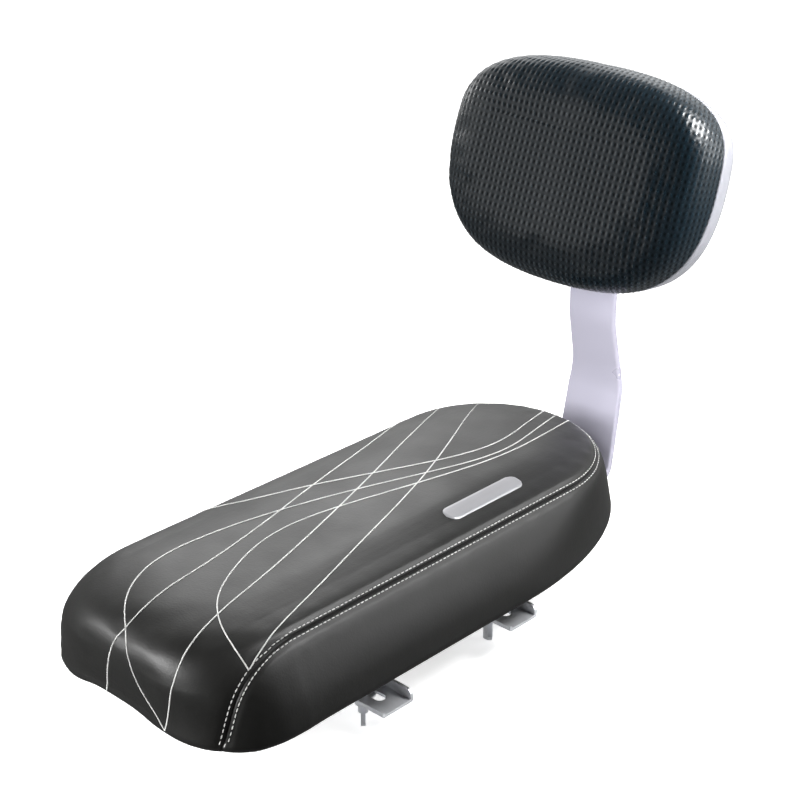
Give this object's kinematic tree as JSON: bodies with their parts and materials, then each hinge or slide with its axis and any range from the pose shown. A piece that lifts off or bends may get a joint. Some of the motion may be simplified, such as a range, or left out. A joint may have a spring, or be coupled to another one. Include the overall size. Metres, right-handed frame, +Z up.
{
  "type": "rear rack cushion seat",
  "caption": "Padded bicycle rear-rack seat: a long stitched cushion on a board with clamp bars below, and a leaning padded backrest on a bent flat steel post.",
  "frame": {"origin": "middle of the flat underside of the base board, the face that lies on the rack", "axes": "+Y to the rear, towards the backrest; +Z up, out of the cushion; +X to the left of a rider who faces forward along -Y"},
  "size_m": [0.1982, 0.434, 0.3232],
  "materials": {
    "seat_leather": "smooth black artificial leather, semi-gloss",
    "embossed_vinyl": "glossy black vinyl with a small embossed grid",
    "foam": "open-cell foam",
    "plywood": "plain plywood",
    "plated_post": "bright bluish plated steel",
    "silver_shell": "glossy pale silver plastic",
    "zinc_steel": "bright zinc plating"
  },
  "bodies": {
    "seat": {"seat_base_board": "plywood", "seat_foam": "foam", "seat_top_panel": "seat_leather", "seat_side_band": "seat_leather", "clamp_bolts": "zinc_steel", "backrest_post": "plated_post", "post_tee_nuts": "zinc_steel", "post_washers": "zinc_steel", "post_bolts": "zinc_steel", "backrest_shell": "silver_shell", "backrest_board": "plywood", "backrest_foam": "foam", "backrest_cover": "embossed_vinyl", "backrest_tee_nuts": "zinc_steel", "backrest_washers": "zinc_steel", "backrest_bolts": "zinc_steel"},
    "front_clamp": {"front_clamp_bar": "zinc_steel", "front_clamp_washers": "zinc_steel", "front_wing_nuts": "zinc_steel"},
    "rear_clamp": {"rear_clamp_bar": "zinc_steel", "rear_clamp_washers": "zinc_steel", "rear_wing_nuts": "zinc_steel"}
  },
  "joints": [
    {"name": "front_clamp_slide", "type": "slide", "parent": "seat", "child": "front_clamp", "axis": [0, 0, 1], "range_m": [-0.005, 0.017]},
    {"name": "rear_clamp_slide", "type": "slide", "parent": "seat", "child": "rear_clamp", "axis": [0, 0, 1], "range_m": [-0.012, 0.01]}
  ]
}
